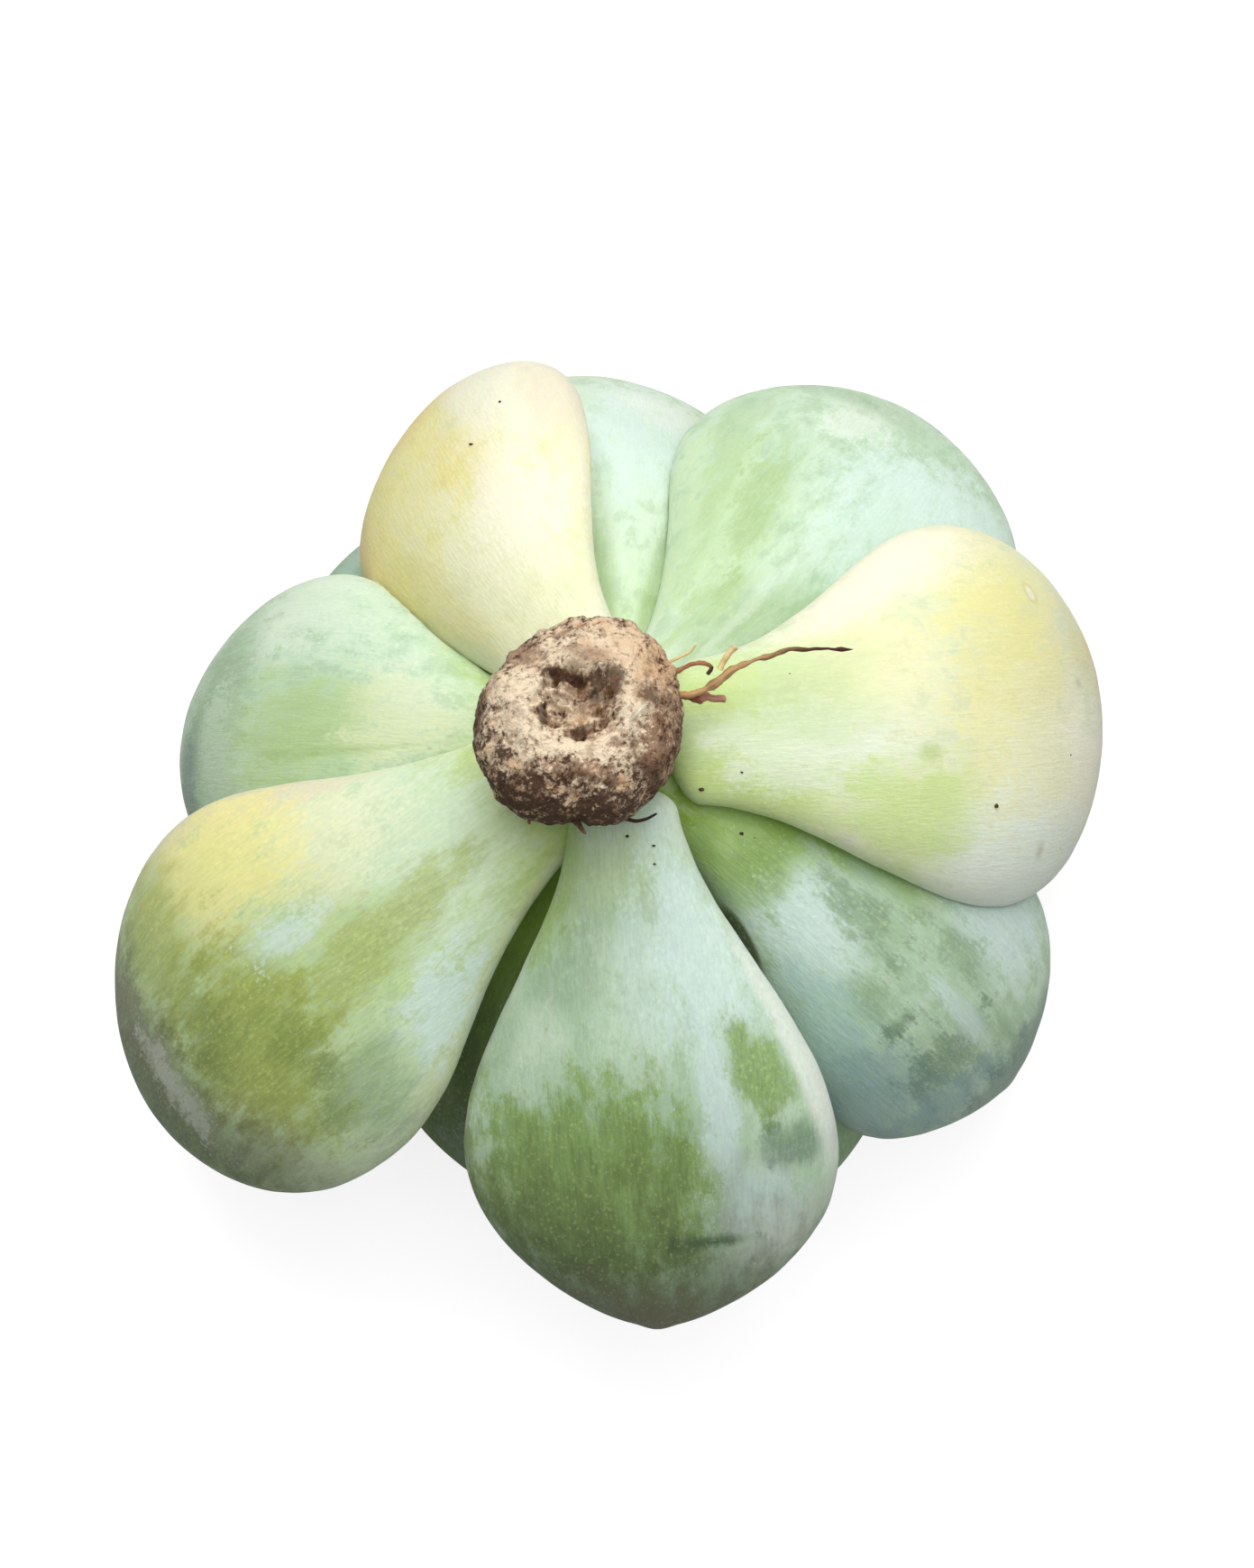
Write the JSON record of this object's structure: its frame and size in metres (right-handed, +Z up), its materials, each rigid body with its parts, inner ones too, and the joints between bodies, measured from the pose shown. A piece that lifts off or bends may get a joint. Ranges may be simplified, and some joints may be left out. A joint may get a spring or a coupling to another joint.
{
  "type": "bare-root succulent rosette",
  "caption": "Rosette of thick powdery succulent leaves lying face down, its cut stem and dried roots standing up in the middle.",
  "frame": {"origin": "on the surface the plant rests on, under the middle of its box", "axes": "+Z up, out along the cut stem; +X towards the main dried root's side; -Y towards the outermost leaf"},
  "size_m": [0.092, 0.0958, 0.0571],
  "materials": {
    "green_leaf": "pale green skin under a powdery bloom",
    "yellow_leaf": "yellowing green skin with a thin bloom",
    "blue_leaf": "blue-green skin with rubbed dark patches",
    "stem": "dry corky callus, mottled cream and dark brown",
    "root": "dry, wiry and wrinkled"
  },
  "bodies": {
    "root": {"stem": "stem", "leaf_01": "green_leaf", "leaf_02": "yellow_leaf", "leaf_03": "yellow_leaf", "leaf_04": "yellow_leaf", "leaf_05": "blue_leaf", "leaf_06": "green_leaf", "leaf_07": "green_leaf", "leaf_08": "blue_leaf", "leaf_09": "green_leaf", "leaf_10": "green_leaf", "leaf_11": "green_leaf", "leaf_12": "green_leaf", "leaf_13": "green_leaf", "leaf_14": "green_leaf", "leaf_15": "green_leaf", "leaf_16": "green_leaf", "leaf_17": "green_leaf", "leaf_18": "green_leaf", "leaf_19": "green_leaf", "leaf_20": "green_leaf", "leaf_21": "green_leaf", "leaf_22": "green_leaf", "leaf_23": "green_leaf", "leaf_24": "green_leaf", "leaf_25": "green_leaf", "leaf_26": "green_leaf", "leaf_27": "green_leaf", "leaf_28": "green_leaf", "leaf_29": "green_leaf", "leaf_30": "green_leaf", "main_root": "root", "cut_root": "root", "pale_root": "root", "looped_root": "root", "fine_root": "root", "dark_root": "root"}
  },
  "joints": []
}
